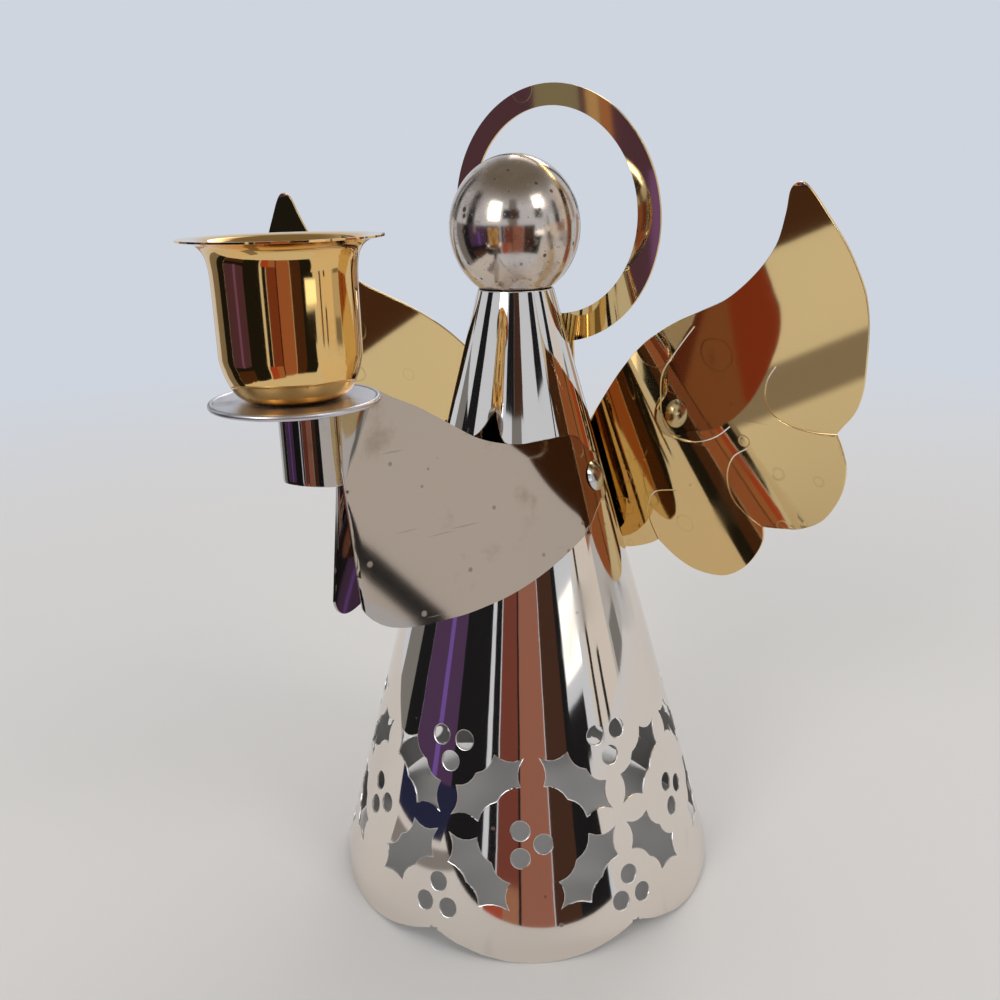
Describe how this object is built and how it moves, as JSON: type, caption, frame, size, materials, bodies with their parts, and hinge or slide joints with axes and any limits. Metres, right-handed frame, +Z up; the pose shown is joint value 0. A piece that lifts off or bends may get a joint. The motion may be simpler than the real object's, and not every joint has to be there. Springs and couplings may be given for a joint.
{
  "type": "angel candle holder",
  "caption": "Sheet-metal angel with a conical pierced robe, ball head, ring halo and gold wings, holding a flared candle cup on a drip pan in front of it.",
  "frame": {"origin": "the robe's axis on the standing surface", "axes": "+Z up, the angel looks towards -Y, +X is the angel's left"},
  "size_m": [0.1562, 0.1336, 0.1871],
  "materials": {
    "polished_nickel": "bright nickel plate with a few small stains",
    "worn_nickel": "smudged and pitted nickel plate",
    "satin_nickel": "dull nickel plate with brown blotches and fine scratches",
    "polished_gold": "bright gold plate with faint water spots",
    "plain_brass": "turned brass",
    "fastener_nickel": "plain nickel plate"
  },
  "bodies": {
    "angel": {"robe": "polished_nickel", "neck_plug": "plain_brass", "halo": "polished_gold", "wings": "polished_gold", "back_screw": "fastener_nickel", "back_washer": "fastener_nickel", "back_nut": "fastener_nickel", "arms": "satin_nickel", "arm_rivets": "fastener_nickel", "drip_pan": "satin_nickel", "cup_screw": "fastener_nickel", "cup_nut": "fastener_nickel"},
    "head": {"head": "worn_nickel", "head_bush": "plain_brass", "head_screw": "fastener_nickel", "head_washer": "fastener_nickel"},
    "cup": {"candle_cup": "polished_gold"}
  },
  "joints": [
    {"name": "head_turn", "type": "hinge", "parent": "angel", "child": "head", "pos_m": [0, 0, 0.1385], "axis": [0, 0, 1], "continuous": true},
    {"name": "cup_turn", "type": "hinge", "parent": "angel", "child": "cup", "pos_m": [0, -0.0698, 0.1317], "axis": [0, 0, 1], "continuous": true}
  ]
}
